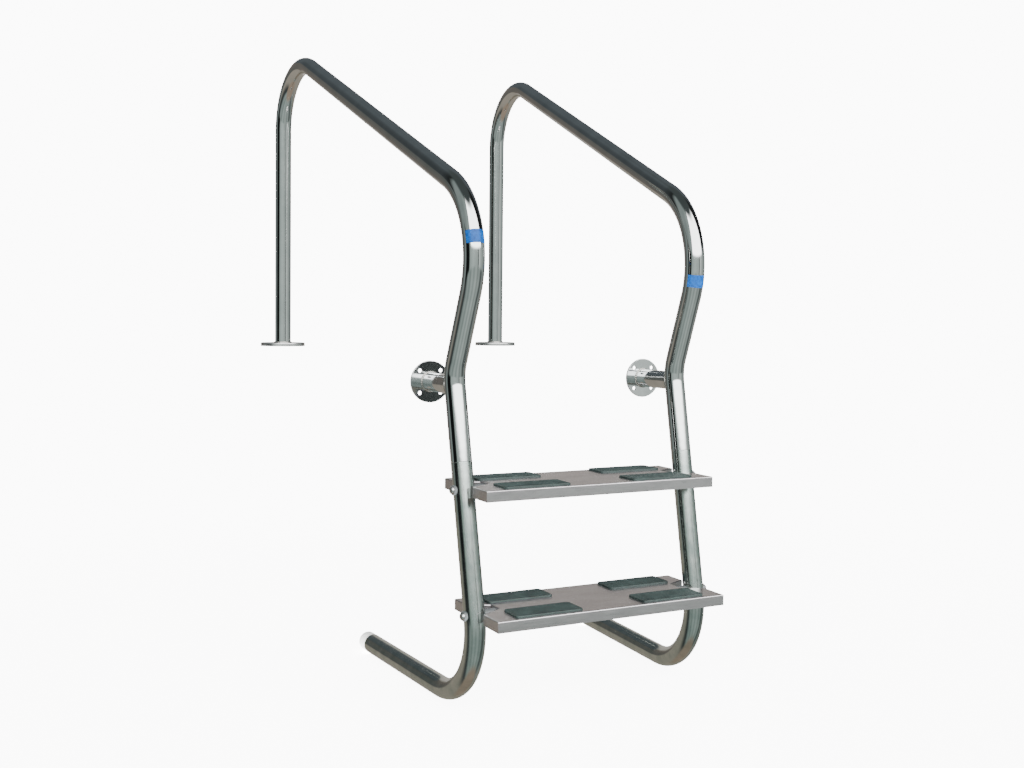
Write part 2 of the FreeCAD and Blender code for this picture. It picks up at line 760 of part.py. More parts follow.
def make_fixings():
    head_seat = "(%s + dims.saddle_thick)" % TUBE_RADIUS
    washer_seat = "(dims.notch_depth + dims.sheet)"
    nut_seat = "(%s + dims.washer_thick)" % washer_seat
    bolt_end = "-(%s + dims.nut_height + dims.thread_end)" % nut_seat
    shank = "dims.bolt_diameter / 2"

    bolt, turned = turned_on_bolt("bolt_master", [
        (bolt_end, "0"), (bolt_end, shank), (head_seat, shank), (head_seat, "dims.head_diameter / 2"),
        (head_seat + " + dims.head_height", "dims.head_diameter / 2"), (head_seat + " + dims.head_height", "0"),
    ])
    dome = circles_at(turned.Shape, AXIS_X, number(head_seat + " + dims.head_height"))
    fillet(bolt, turned, dome, "dims.head_height - 0.5")

    saddle = ring_on_bolt("saddle_master", "(%s * 0.6)" % TUBE_RADIUS, head_seat, "dims.saddle_diameter / 2")
    cope_to_tube(saddle)
    spacer = ring_on_bolt("spacer_master", "-dims.notch_depth", "-(%s * 0.6)" % TUBE_RADIUS,
                          "dims.spacer_diameter / 2")
    cope_to_tube(spacer)
    washer = ring_on_bolt("washer_master", "-" + nut_seat, "-" + washer_seat, "dims.washer_diameter / 2")

    nut = new_body("nut_master")
    hexagon = new_sketch(nut, "nut_outline", "YZ_Plane")
    hexagon.setExpression("AttachmentOffset.Base.z", "-(%s + dims.nut_height)" % nut_seat)
    corner = "dims.nut_across / 2 / cos(30)"
    add_polygon(hexagon, [("%s * cos(%d)" % (corner, a), "%s * sin(%d)" % (corner, a)) for a in range(0, 360, 60)])
    add_circle(hexagon, shank)
    doc.recompute()
    pad(nut, hexagon, "dims.nut_height")

    places = [leg_frame(side, bolt_level(drop)) for drop in TREADS.values() for side in SIDES.values()]
    for name, master in (("tread_bolts", bolt), ("tread_saddles", saddle), ("tread_spacers", spacer),
                         ("tread_washers", washer), ("tread_nuts", nut)):
        keep_set(name, master, places)


# ---------------------------------------------------------------- build and write

def build():
    fill_sheet()
    for side_name, side in SIDES.items():
        make_handrail(side_name, side)
        make_leg(side_name, side)
        make_spigot(side_name, side)
        make_end_cap(side_name, side)
        make_label(side_name, side)
        make_deck_flange(side_name, side)
        make_wall_flange(side_name, side)
        make_standoff(side_name, side)
    make_joint_screws()
    for tread_name, tread_drop in TREADS.items():
        make_tread(tread_name, tread_drop)
        make_pads(tread_name, tread_drop)
    make_fixings()
    doc.recompute()


def write():
    for item in doc.Objects:
        require(not {"Invalid", "Error"} & set(item.State), "%s did not compute" % item.Label)
    for name, item in nodes.items():
        require(not item.Shape.isNull() and item.Shape.isValid(), "%s has no sound shape" % name)
    os.makedirs("parts", exist_ok=True)
    for name, item in nodes.items():
        item.Shape.exportStep("parts/%s.step" % name)
        print(name, len(item.Shape.Solids), round(item.Shape.Volume))


build()
write()
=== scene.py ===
"""Looks of the two-tread pool ladder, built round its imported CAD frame. Metres, +Z up.

Each side of the ladder, a "stringer", is drawn in its own frame: origin on its post at deck level, X
square to the stringer, -Y towards the water. Reach is the distance from the post towards the water.
"""
import math

import bpy
import numpy as np
from mathutils import Matrix, Vector


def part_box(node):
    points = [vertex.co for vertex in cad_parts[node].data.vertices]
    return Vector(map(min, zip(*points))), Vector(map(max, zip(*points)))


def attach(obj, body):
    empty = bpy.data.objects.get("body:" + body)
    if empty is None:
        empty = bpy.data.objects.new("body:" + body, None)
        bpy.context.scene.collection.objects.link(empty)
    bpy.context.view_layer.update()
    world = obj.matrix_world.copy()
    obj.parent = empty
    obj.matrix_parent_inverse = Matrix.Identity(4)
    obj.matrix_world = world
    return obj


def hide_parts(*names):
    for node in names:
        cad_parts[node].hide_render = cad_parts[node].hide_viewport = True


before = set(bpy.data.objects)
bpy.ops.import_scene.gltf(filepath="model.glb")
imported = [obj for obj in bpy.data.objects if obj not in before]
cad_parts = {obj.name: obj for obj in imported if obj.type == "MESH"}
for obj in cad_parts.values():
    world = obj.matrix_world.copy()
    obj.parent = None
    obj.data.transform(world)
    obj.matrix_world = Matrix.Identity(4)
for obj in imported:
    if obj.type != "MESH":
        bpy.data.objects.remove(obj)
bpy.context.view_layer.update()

# ---------------------------------------------------------------- sizes

SIDES = {"left": -1, "right": 1}
SPLAY = math.radians(3.5)
KNEE_REACH = 1.034
LEG_SPACING = 0.528
HALF_SPAN_AT_POST = LEG_SPACING / 2 + KNEE_REACH * math.sin(SPLAY)

TUBE_RADIUS = 0.0215
BORE_RADIUS = 0.020
RIM_ROUND = 0.0007

# The deck flange's top, and the wall flange's middle height and front face
DECK_TOP = 0.010
WALL_Z = -0.053
WALL_FRONT = -0.911

# Corners of the tubes' middle lines: reach, height and, for a bend, its radius
KNEE = (KNEE_REACH, -0.030)
FOOT = (1.162, -0.674)
RAIL_START = (0.0, DECK_TOP)
RAIL_CORNERS = [(0.0, 0.825, 0.150), (1.168, 0.287, 0.180), (*KNEE, 0.090)]
LEG_START = (0.635, -0.674)
LEG_CORNERS = [(*FOOT, 0.145)]

# The joint between handrail and leg, and its grub-screw holes
JOINT_HEIGHT = -0.205
GRUB_OFFSET = 0.025
GRUB_HOLE_RADIUS = 0.0033
GRUB_HOLE_DEPTH = 0.006

STANDOFF_RADIUS = 0.020
STANDOFF_REACH = (0.060, 0.124)

DECK_BEAD_RADIUS = 0.0021
ANCHOR_BEAD_RADIUS = 0.0018
BEAD_GAP = 0.0003
BEAD_LIFT = 0.0004
BEAD_SWELL = 0.14
BEAD_POINTS = 480

CAP_HEAD_RADIUS = 0.021
CAP_LENGTH = 0.038
CAP_PLUG = 0.025
CAP_PLUG_PLAY = 0.00005
CAP_ROUND = 0.010
CAP_LIP = 0.0004
CAP_GROOVES = (0.008, 0.0145, 0.021)
CAP_GROOVE_HALF_WIDTH = 0.0016
CAP_GROOVE_DEPTH = 0.0007

PAD_CORNER = 0.008
PAD_EDGE = 0.001
PAD_RIBS = 11
PAD_RIB_DEPTH = 0.0005
PAD_BORDER = 0.0035
PAD_BORDER_FADE = 0.0015
PAD_RIB_MARGIN = 0.004

FLOOR_Z = -0.697


# ---------------------------------------------------------------- surfaces

def unit(vectors):
    """Vectors divided by their own length."""
    return vectors / np.linalg.norm(vectors, axis=-1, keepdims=True)


def on_stringer(points, side):
    """Points from a stringer's frame to the ladder's: turned about Z by the splay and moved to the post."""
    cos, sin = math.cos(SPLAY), -side * math.sin(SPLAY)
    x, y, z = np.moveaxis(points, -1, 0)
    return np.stack([x * cos - y * sin + side * HALF_SPAN_AT_POST, x * sin + y * cos, z], axis=-1)


def add_piece(name, points, faces, material, face_uv=None, crease=40):
    """A mesh object at the origin whose faces point outwards: a negative volume turns them over."""
    corners = points[faces]
    first, second, third = corners[:, 0], corners[:, 1], corners[:, 2]
    last = corners[:, -1]
    normals = np.cross(second, third) + np.cross(third, last)
    if np.einsum("ij,ij->", first, normals) < 0:
        faces = faces[:, ::-1]
        face_uv = None if face_uv is None else face_uv[:, ::-1]
    rows = [list(dict.fromkeys(row)) for row in faces.tolist()]
    mesh = bpy.data.meshes.new(name)
    mesh.from_pydata(points.tolist(), [], rows)
    if face_uv is not None:
        run = mesh.uv_layers.new(name="run")
        run.data.foreach_set("uv", face_uv.reshape(-1).astype(np.float32))
    mesh.polygons.foreach_set("use_smooth", np.ones(len(mesh.polygons), dtype=bool))
    mesh.set_sharp_from_angle(angle=math.radians(crease))
    mesh.materials.append(material)
    piece = bpy.data.objects.new(name, mesh)
    bpy.context.scene.collection.objects.link(piece)
    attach(piece, "root")
    return piece


def grid_faces(rows, columns, wrap_rows, wrap_columns):
    """Quads of a grid of points as numbers into its flattened list, each direction open or closed."""
    i = np.arange(rows if wrap_rows else rows - 1)
    j = np.arange(columns if wrap_columns else columns - 1)
    i, j = np.meshgrid(i, j, indexing="ij")
    below, right = (i + 1) % rows, (j + 1) % columns
    corners = [(i, j), (below, j), (below, right), (i, right)]
    return np.stack([(a * columns + b).ravel() for a, b in corners], axis=1)


def centre_line(start, corners, aim, end_height, step=0.02, turn_step=2.0):
    """Middle of a bent tube: (reach, height) points, their unit directions, and the length run so far.

    Straight runs join circular arcs. Where two runs meet at an angle a, an arc of radius r begins
    r / tan(a / 2) before the corner, ends as far after it, and has its centre r / sin(a / 2) from the corner.
    """
    stops = [np.array(stop[:2], dtype=float) for stop in [start, *corners, aim]]
    points, directions = [], []
    run_start = stops[0]
    for before, corner, after, (_, _, radius) in zip(stops, stops[1:], stops[2:], corners):
        back, ahead = unit(before - corner), unit(after - corner)
        half = math.acos(back @ ahead) / 2
        entry = corner + back * radius / math.tan(half)
        centre = corner + unit(back + ahead) * radius / math.sin(half)
        share = np.arange(0, 1, step / np.linalg.norm(entry - run_start))[:, None]
        points.append(run_start + share * (entry - run_start))
        directions.append(np.repeat(-back[None], len(share), axis=0))
        sweep = math.pi - 2 * half
        turn = np.linspace(0, sweep, int(math.degrees(sweep) / turn_step) + 2)[:, None]
        spoke = unit(entry - centre)
        points.append(centre + radius * (np.cos(turn) * spoke - np.sin(turn) * back))
        directions.append(-np.cos(turn) * back - np.sin(turn) * spoke)
        run_start = corner + ahead * radius / math.tan(half)
    ahead = unit(stops[-1] - stops[-2])
    run_end = stops[-2] + ahead * (end_height - stops[-2][1]) / ahead[1]
    length = np.linalg.norm(run_end - run_start)
    share = np.append(np.arange(step, length - step / 4, step), length)[:, None]
    points.append(run_start + share * ahead)
    directions.append(np.repeat(ahead[None], len(share), axis=0))
    points, directions = np.concatenate(points), np.concatenate(directions)
    run = np.append(0, np.cumsum(np.linalg.norm(np.diff(points, axis=0), axis=1)))
    return points, directions, run


def bent_tube(name, side, line, material, around=96):
    """A tube as one closed skin: the outer wall along the line, a rounded rim, the bore back, the other rim.

    With T the line's direction, B square to the stringer and N = B x T, a ring's points are
    C + radius (cos f B + sin f N). At a rim the radius and the place along T follow a quarter circle.
    """
    points, directions, run = line
    quarter = np.linspace(0, math.pi / 2, 5)
    inset = np.append([3 * RIM_ROUND, 1.5 * RIM_ROUND], RIM_ROUND * (1 - np.sin(quarter)))
    drop = np.append([0, 0], RIM_ROUND * (1 - np.cos(quarter)))
    ends = [(points[0], directions[0], inset[::-1], drop[::-1]), (points[-1], directions[-1], -inset, drop)]
    (first, first_way, first_along, first_drop), (last, last_way, last_along, last_drop) = ends
    inner = slice(1, -1)
    centre = np.concatenate([first + first_along[:, None] * first_way, points[inner],
                             last + last_along[:, None] * last_way, points[::-1]])
    way = np.concatenate([np.repeat(first_way[None], len(inset), axis=0), directions[inner],
                          np.repeat(last_way[None], len(inset), axis=0), directions[::-1]])
    radius = np.concatenate([TUBE_RADIUS - first_drop, np.full(len(points) - 2, TUBE_RADIUS),
                             TUBE_RADIUS - last_drop, np.full(len(points), BORE_RADIUS)])
    along = np.concatenate([first_along, run[inner], run[-1] + last_along, run[::-1]])
    angle = np.linspace(0, 2 * math.pi, around, endpoint=False)
    out = np.stack([np.zeros(len(way)), -way[:, 1], -way[:, 0]], axis=1)
    middle = np.stack([np.zeros(len(centre)), -centre[:, 0], centre[:, 1]], axis=1)
    square = np.array([1.0, 0.0, 0.0])
    rings = middle[:, None] + radius[:, None, None] * (
        np.cos(angle)[None, :, None] * square + np.sin(angle)[None, :, None] * out[:, None])
    faces = grid_faces(len(rings), around, True, True)
    i, j = np.divmod(np.arange(len(faces)), around)
    here, there = along[i], along[(i + 1) % len(along)]
    low, high = j / around * 2 * math.pi * TUBE_RADIUS, (j + 1) / around * 2 * math.pi * TUBE_RADIUS
    pairs = [(here, low), (there, low), (there, high), (here, high)]
    face_uv = np.stack([np.stack(pair, axis=-1) for pair in pairs], axis=1)
    surface = on_stringer(rings, side).reshape(-1, 3)
    return add_piece(name, surface, faces, material, face_uv)


def weld_bead(name, loops, material, around=12, ripple=0.0042):
    """Rippled beads, each a closed tube round a loop of points.

    On a loop with direction T and side way S, a ring's points are C + r (cos f S + sin f (T x S)), and r
    swells by a seventh once for each ripple that the welder's torch left.
    """
    points, faces = [], []
    for loop, sideways, radius in loops:
        ahead = unit(np.roll(loop, -1, axis=0) - np.roll(loop, 1, axis=0))
        across = unit(sideways - np.sum(sideways * ahead, axis=1, keepdims=True) * ahead)
        up = np.cross(ahead, across)
        steps = np.linalg.norm(np.roll(loop, -1, axis=0) - loop, axis=1)
        count = round(steps.sum() / ripple)
        phase = 2 * math.pi * count * np.append(0, np.cumsum(steps)[:-1]) / steps.sum()
        swell = radius * (1 + BEAD_SWELL * np.abs(np.sin(phase / 2)))
        angle = np.linspace(0, 2 * math.pi, around, endpoint=False)
        rings = loop[:, None] + swell[:, None, None] * (
            np.cos(angle)[None, :, None] * across[:, None] + np.sin(angle)[None, :, None] * up[:, None])
        faces.append(grid_faces(len(loop), around, True, True) + sum(len(p) for p in points))
        points.append(rings.reshape(-1, 3))
    add_piece(name, np.concatenate(points), np.concatenate(faces), material)


def circle_loop(centre, first, second, radius):
    """Points and outward ways of a circle: centre + radius (cos f first + sin f second)."""
    angle = np.linspace(0, 2 * math.pi, BEAD_POINTS, endpoint=False)[:, None]
    outward = np.cos(angle) * np.array(first, dtype=float) + np.sin(angle) * np.array(second, dtype=float)
    return np.array(centre) + radius * outward, outward


def standoff_mouth(side):
    """Where the stand-off's outside meets the handrail: at each angle of the stand-off's circle, the first
    place towards the water whose distance from the handrail's middle line is the tube's radius."""
    points, _, _ = centre_line(RAIL_START, RAIL_CORNERS, FOOT, JOINT_HEIGHT, step=0.001, turn_step=0.5)
    points = points[np.abs(points[:, 1] - WALL_Z) < 0.06]
    middle = on_stringer(np.stack([np.zeros(len(points)), -points[:, 0], points[:, 1]], axis=1), side)
    start = np.array([side * LEG_SPACING / 2, WALL_FRONT, WALL_Z])
    circle, outward = circle_loop(start, (1, 0, 0), (0, 0, 1), STANDOFF_RADIUS)
    ahead = np.linspace(*STANDOFF_REACH, 161)
    tries = circle[:, None] - ahead[None, :, None] * np.array([0.0, 1.0, 0.0])
    nearest = [np.linalg.norm(row[:, None] - middle[None], axis=2).min(axis=1) for row in tries]
    gap = np.stack(nearest) - TUBE_RADIUS
    hit = np.argmax(gap < 0, axis=1)
    rows = np.arange(BEAD_POINTS)
    before, after = gap[rows, hit - 1], gap[rows, hit]
    depth = ahead[hit - 1] + (ahead[1] - ahead[0]) * before / (before - after)
    return circle - depth[:, None] * np.array([0.0, 1.0, 0.0]), outward


def turned_cap(name, side, material, around=72):
    """The end cap, turned about the tail's axis from an outline of (radius, distance from the tube's end).

    The head has a rounded nose, a small lip where it meets the tube, and three moulded grip grooves, each a
    cosine dip in the radius.
    """
    tail = np.array([0.0, -LEG_START[0], LEG_START[1]])
    plug = BORE_RADIUS - CAP_PLUG_PLAY
    body = np.linspace(CAP_LIP, CAP_LENGTH - CAP_ROUND, 90)
    groove = np.zeros(len(body))
    for at in CAP_GROOVES:
        across = (body - at) / CAP_GROOVE_HALF_WIDTH
        groove = groove + np.where(np.abs(across) < 1, 0.5 + 0.5 * np.cos(across * math.pi), 0)
    nose = np.linspace(0, math.pi / 2, 16)[1:]
    flat = CAP_HEAD_RADIUS - CAP_ROUND
    outline = np.concatenate([
        [(plug * 0.6, -CAP_PLUG), (plug - 0.001, -CAP_PLUG), (plug, -CAP_PLUG + 0.001), (plug, 0.0)],
        [(CAP_HEAD_RADIUS - CAP_LIP, 0.0)],
        np.stack([CAP_HEAD_RADIUS - CAP_GROOVE_DEPTH * groove, body], axis=1),
        np.stack([flat + CAP_ROUND * np.cos(nose),
                  CAP_LENGTH - CAP_ROUND + CAP_ROUND * np.sin(nose)], axis=1),
        [(flat * 0.5, CAP_LENGTH)],
    ])
    angle = np.linspace(0, 2 * math.pi, around, endpoint=False)
    radius, along = outline[:, :1], np.repeat(outline[:, 1:], around, axis=1)
    rings = np.stack([radius * np.cos(angle), along, radius * np.sin(angle)], axis=2) + tail
    poles = np.array([tail + (0, -CAP_PLUG, 0), tail + (0, CAP_LENGTH, 0)])
    points = np.concatenate([rings.reshape(-1, 3), poles])
    faces = grid_faces(len(rings), around, False, True)
    j = np.arange(around)
    after = (j + 1) % around
    low, high = len(points) - 2, len(points) - 1
    top = (len(rings) - 1) * around
    low, high = np.full(around, low), np.full(around, high)
    ends = [np.stack([j, after, low, low], axis=1), np.stack([top + after, top + j, high, high], axis=1)]
    faces = np.concatenate([faces, *ends])
    return add_piece(name, on_stringer(points, side), faces, material)


def rubber_pad(name, node, material, columns=70, rows=150):
    """A moulded pad on a tread: a rounded slab with shallow ribs along its length inside a plain border.

    A grid line at y is as wide as the rounded rectangle is there. The height is the slab's thickness, less a
    quarter circle over the last millimetre to the outline, less cosine furrows that fade out near the border.
    """
    low, high = (np.array(corner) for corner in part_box(node))
    half_x, half_y, thick = (high[0] - low[0]) / 2, (high[1] - low[1]) / 2, high[2] - low[2]
    even = np.linspace(-1, 1, columns)
    s = np.sin(even * math.pi / 2)
    s = 0.35 * s + 0.65 * np.sign(s) * (1 - np.abs(1 - np.abs(even)) ** 1.6)
    t = np.linspace(-1, 1, rows)
    t = 0.5 * t + 0.5 * np.sin(t * math.pi / 2)
    y = t * half_y
    past = np.maximum(np.abs(y) - (half_y - PAD_CORNER), 0)
    reach = half_x - PAD_CORNER + np.sqrt(np.maximum(PAD_CORNER ** 2 - past ** 2, 0))
    x = s[None, :] * reach[:, None]
    y = np.repeat(y[:, None], columns, axis=1)
    corner = np.maximum(np.stack([np.abs(x) - (half_x - PAD_CORNER), np.abs(y) - (half_y - PAD_CORNER)]), -1)
    outside = np.linalg.norm(np.maximum(corner, 0), axis=0)
    depth = PAD_CORNER - outside - np.minimum(np.max(corner, axis=0), 0)
    rise = np.sqrt(np.maximum(PAD_EDGE ** 2 - np.maximum(PAD_EDGE - depth, 0) ** 2, 0))
    fade = np.clip((depth - PAD_BORDER) / PAD_BORDER_FADE, 0, 1)
    furrow = 0.5 - 0.5 * np.cos(y / (half_y - PAD_RIB_MARGIN) * math.pi * PAD_RIBS)
    z = thick - PAD_EDGE + rise - PAD_RIB_DEPTH * fade * furrow
    middle = (low + high) / 2
    top = np.stack([x + middle[0], y + middle[1], z + low[2]], axis=2).reshape(-1, 3)
    bottom = top.copy()
    bottom[:, 2] = low[2]
    count = len(top)
    faces = grid_faces(rows, columns, False, False)
    edge = np.concatenate([np.arange(columns), np.arange(1, rows) * columns + columns - 1,
                           (rows - 1) * columns + np.arange(columns - 2, -1, -1),
                           np.arange(rows - 2, 0, -1) * columns])
    after = np.roll(edge, -1)
    wall = np.stack([edge, after, after + count, edge + count], axis=1)
    joined = np.concatenate([faces[:, ::-1], faces + count, wall[:, ::-1]])
    piece = add_piece(name, np.concatenate([top, bottom]), joined, material)
    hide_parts(node)


def drill(piece, place, way, radius, depth, sides=48):
    """A round hole sunk into a piece from a place on its surface, cut with a many-sided bar along the way."""
    angle = np.linspace(0, 2 * math.pi, sides, endpoint=False)[:, None]
    way = unit(np.array(way))
    first = unit(np.cross(way, (1.0, 0.3, 0.0)))
    second = np.cross(way, first)
    ring = np.array(place) + radius * (np.cos(angle) * first + np.sin(angle) * second)
    points = np.concatenate([ring - way * 0.004, ring + way * depth])
    walls = [[j, (j + 1) % sides, sides + (j + 1) % sides, sides + j] for j in range(sides)]
    ends = [list(range(sides - 1, -1, -1)), list(range(sides, 2 * sides))]
    mesh = bpy.data.meshes.new("drill")
    mesh.from_pydata(points.tolist(), [], [*ends, *walls])
    bar = bpy.data.objects.new("drill", mesh)
    bpy.context.scene.collection.objects.link(bar)
    cut = piece.modifiers.new("hole", "BOOLEAN")
    cut.object = bar
    cut.operation = "DIFFERENCE"
    cut.solver = "EXACT"
    shown = piece.evaluated_get(bpy.context.evaluated_depsgraph_get())
    drilled = bpy.data.meshes.new_from_object(shown)
    piece.modifiers.clear()
    old = piece.data
    piece.data = drilled
    bpy.data.meshes.remove(old)
    bpy.data.objects.remove(bar)
    bpy.data.meshes.remove(mesh)


# ---------------------------------------------------------------- materials

def linear(colour):
    """An sRGB hex colour as linear red, green, blue and alpha."""
    shares = np.array([int(colour[i:i + 2], 16) for i in (1, 3, 5)]) / 255
    shares = np.where(shares <= 0.04045, shares / 12.92, ((shares + 0.055) / 1.055) ** 2.4)
    return (*shares.tolist(), 1.0)


def add_node(tree, kind, inputs=None, **settings):
    """Adds a node with its settings. Each input is a plain value, or another node's output to link."""
    node = tree.nodes.new(kind)
    for name, value in settings.items():
        setattr(node, name, value)
    for name, value in (inputs or {}).items():
        if isinstance(value, bpy.types.NodeSocket):
            tree.links.new(value, node.inputs[name])
        else:
            node.inputs[name].default_value = value
    return node


def start_material(name):
    """A new material and its empty node tree."""
    material = bpy.data.materials.new(name)
    material.use_nodes = True
    material.node_tree.nodes.clear()
    return material, material.node_tree


def pattern(tree, source, size, detail=3.0, stretch=(1.0, 1.0, 1.0)):
    """Noise whose blobs are about size metres across, longer along an axis whose stretch is above one.

    It lies in the object's own space or, for "run", along a tube's unrolled wall.
    """
    if source == "run":
        coordinates = add_node(tree, "ShaderNodeUVMap", uv_map="run").outputs["UV"]
    else:
        coordinates = add_node(tree, "ShaderNodeTexCoord").outputs["Object"]
    scale = tuple(1 / (size * share) for share in stretch)
    placed = add_node(tree, "ShaderNodeMapping", {"Vector": coordinates, "Scale": scale})
    noise = add_node(tree, "ShaderNodeTexNoise", {"Vector": placed.outputs["Vector"], "Scale": 1.0,
                                                  "Detail": detail, "Roughness": 0.55})
    return noise.outputs["Fac"]


def between(tree, share, low, high):
    """A number that runs from low to high as a noise runs over its usual spread."""
    spread = add_node(tree, "ShaderNodeMapRange", {"Value": share, "From Min": 0.3, "From Max": 0.7,
                                                   "To Min": low, "To Max": high})
    return spread.outputs["Result"]


def mixed(tree, share, first, second):
    """Two colours mixed by a share from 0 to 1."""
    mix = add_node(tree, "ShaderNodeMix", {0: share, 6: first, 7: second}, data_type="RGBA")
    return mix.outputs[2]


def blended(tree, share, first, second):
    """A colour between two hex colours."""
    return mixed(tree, between(tree, share, 0.0, 1.0), linear(first), linear(second))


def bumped(tree, heights):
    """A normal from (pattern, depth in metres) pairs laid on each other."""
    normal = None
    for share, depth in heights:
        inputs = {"Height": share, "Distance": depth, "Strength": 1.0}
        if normal is not None:
            inputs["Normal"] = normal
        normal = add_node(tree, "ShaderNodeBump", inputs).outputs["Normal"]
    return normal


def end_material(tree, inputs):
    """Closes a material with one surface shader and its output."""
    shader = add_node(tree, "ShaderNodeBsdfPrincipled", inputs)
    add_node(tree, "ShaderNodeOutputMaterial", {"Surface": shader.outputs["BSDF"]})


def mirror_tube_steel():
    """Stainless steel tube, drawn and then buffed to a mirror: a clear image, broken up a little by faint
    lengthwise draw lines about 0.6 mm apart and by a slow waviness of the wall."""
    material, tree = start_material("mirror_tube_steel")
    lines = pattern(tree, "run", 0.0006, 2.0, (120.0, 1.0, 1.0))
    waves = pattern(tree, "run", 0.030, 1.0)
    film = pattern(tree, "object", 0.045, 4.0)
    end_material(tree, {
        "Base Color": blended(tree, film, "#CED2D1", "#E0E2E1"),
        "Metallic": 1.0,
        "Roughness": between(tree, lines, 0.04, 0.10),
        "Normal": bumped(tree, [(waves, 0.00012), (lines, 0.000002)]),
    })
    return material


def dulled_tube_steel():
    """The same stainless tube as it looks on the legs: buffed less and dulled by pool water, with a soft
    image, lengthwise grinding lines about 0.8 mm apart and a faint grey-green film."""
    material, tree = start_material("dulled_tube_steel")
    lines = pattern(tree, "run", 0.0008, 3.0, (90.0, 1.0, 1.0))
    waves = pattern(tree, "run", 0.030, 1.0)
    film = pattern(tree, "object", 0.030, 5.0)
    end_material(tree, {
        "Base Color": blended(tree, film, "#A9B5B1", "#C4CAC6"),
        "Metallic": 1.0,
        "Roughness": between(tree, lines, 0.12, 0.22),
        "Normal": bumped(tree, [(waves, 0.00012), (lines, 0.000003)]),
    })
    return material


def mirror_plate_steel():
    """Stainless plate and short tube of the wall anchors, buffed to a mirror on a wheel: a clear image with
    faint wheel marks in no one direction, about 2 mm across."""
    material, tree = start_material("mirror_plate_steel")
    marks = pattern(tree, "object", 0.002, 5.0)
    film = pattern(tree, "object", 0.020, 3.0)
    end_material(tree, {
        "Base Color": blended(tree, film, "#C8CBCB", "#DADCDC"),
        "Metallic": 1.0,
        "Roughness": between(tree, marks, 0.06, 0.13),
        "Normal": bumped(tree, [(film, 0.00006), (marks, 0.000006)]),
    })
    return material


def satin_plate_steel():
    """Stainless deck flange, satin-ground: a pale broad sheen with fine marks about 1 mm across."""
    material, tree = start_material("satin_plate_steel")
    marks = pattern(tree, "object", 0.001, 4.0, (6.0, 1.0, 1.0))
    film = pattern(tree, "object", 0.018, 3.0)
    end_material(tree, {
        "Base Color": blended(tree, film, "#D2D2D2", "#E2E2E1"),
        "Metallic": 1.0,
        "Roughness": between(tree, marks, 0.26, 0.38),
        "Normal": bumped(tree, [(marks, 0.00002)]),
    })
    return material


def satin_sheet_steel():
    """Stainless sheet with a satin finish ground along the tread. Real lines are about 0.1 mm apart; they are
    drawn 0.7 mm apart, so that they show."""
    material, tree = start_material("satin_sheet_steel")
    grain = pattern(tree, "object", 0.0007, 4.0, (60.0, 1.0, 1.0))
    film = pattern(tree, "object", 0.035, 4.0, (2.5, 1.0, 1.0))
    end_material(tree, {
        "Base Color": blended(tree, film, "#C3BFC1", "#D3D0D1"),
        "Metallic": 1.0,
        "Roughness": between(tree, grain, 0.26, 0.40),
        "Normal": bumped(tree, [(grain, 0.00002)]),
    })
    return material


def fixing_steel():
    """Cold-headed stainless bolts, nuts, washers and grub screws, tumbled bright: soft marks 0.8 mm across."""
    material, tree = start_material("fixing_steel")
    marks = pattern(tree, "object", 0.0008, 4.0)
    end_material(tree, {
        "Base Color": blended(tree, marks, "#B9BAB9", "#D0D1D0"),
        "Metallic": 1.0,
        "Roughness": between(tree, marks, 0.18, 0.32),
        "Normal": bumped(tree, [(marks, 0.00002)]),
    })
    return material


def weld_steel():
    """Stainless weld bead, pickled and brushed: greyer and rougher than the tube, with a faint straw tint."""
    material, tree = start_material("weld_steel")
    marks = pattern(tree, "object", 0.0015, 4.0)
    end_material(tree, {
        "Base Color": blended(tree, marks, "#A8A59E", "#C6C5C1"),
        "Metallic": 1.0,
        "Roughness": between(tree, marks, 0.22, 0.40),
        "Normal": bumped(tree, [(marks, 0.00005)]),
    })
    return material


def moulded_rubber():
    """EPDM rubber, pressed in a blasted mould: dark green-grey, with a fine leathery grain 0.9 mm across and
    paler patches where water has dried on it."""
    material, tree = start_material("moulded_rubber")
    grain = pattern(tree, "object", 0.0009, 3.0)
    chalk = pattern(tree, "object", 0.025, 5.0)
    end_material(tree, {
        "Base Color": blended(tree, chalk, "#222E2D", "#344341"),
        "Roughness": between(tree, chalk, 0.48, 0.64),
        "IOR": 1.52,
        "Normal": bumped(tree, [(grain, 0.00006)]),
    })
    return material


def white_polyethylene():
    """Injection-moulded polyethylene: waxy white, soft gloss, with faint flow marks along the cap."""
    material, tree = start_material("white_polyethylene")
    flow = pattern(tree, "object", 0.003, 3.0, (1.0, 4.0, 1.0))
    end_material(tree, {
        "Base Color": blended(tree, flow, "#E6E6E2", "#F4F4F2"),
        "Roughness": between(tree, flow, 0.34, 0.46),
        "IOR": 1.51,
        "Normal": bumped(tree, [(flow, 0.00003)]),
    })
    return material


def blue_vinyl():
    """Cast vinyl film, printed plain blue under a matt laminate: a soft gloss, with slight orange peel."""
    material, tree = start_material("blue_vinyl")
    peel = pattern(tree, "object", 0.0012, 2.0)
    ink = pattern(tree, "object", 0.006, 3.0)
    end_material(tree, {
        "Base Color": blended(tree, ink, "#023A78", "#04509A"),
        "Roughness": between(tree, peel, 0.36, 0.48),
        "Specular IOR Level": 0.25,
        "IOR": 1.54,
        "Normal": bumped(tree, [(peel, 0.00002)]),
    })
    return material


def grey_nylon():
    """Moulded nylon bushes and saddle washers: dark grey, matt, with a fine mould grain 0.7 mm across."""
    material, tree = start_material("grey_nylon")
    grain = pattern(tree, "object", 0.0007, 3.0)
    end_material(tree, {
        "Base Color": blended(tree, grain, "#4B4E4F", "#5C6061"),
        "Roughness": between(tree, grain, 0.42, 0.58),
        "IOR": 1.53,
        "Normal": bumped(tree, [(grain, 0.00003)]),
    })
    return material


# ---------------------------------------------------------------- the ladder's pieces

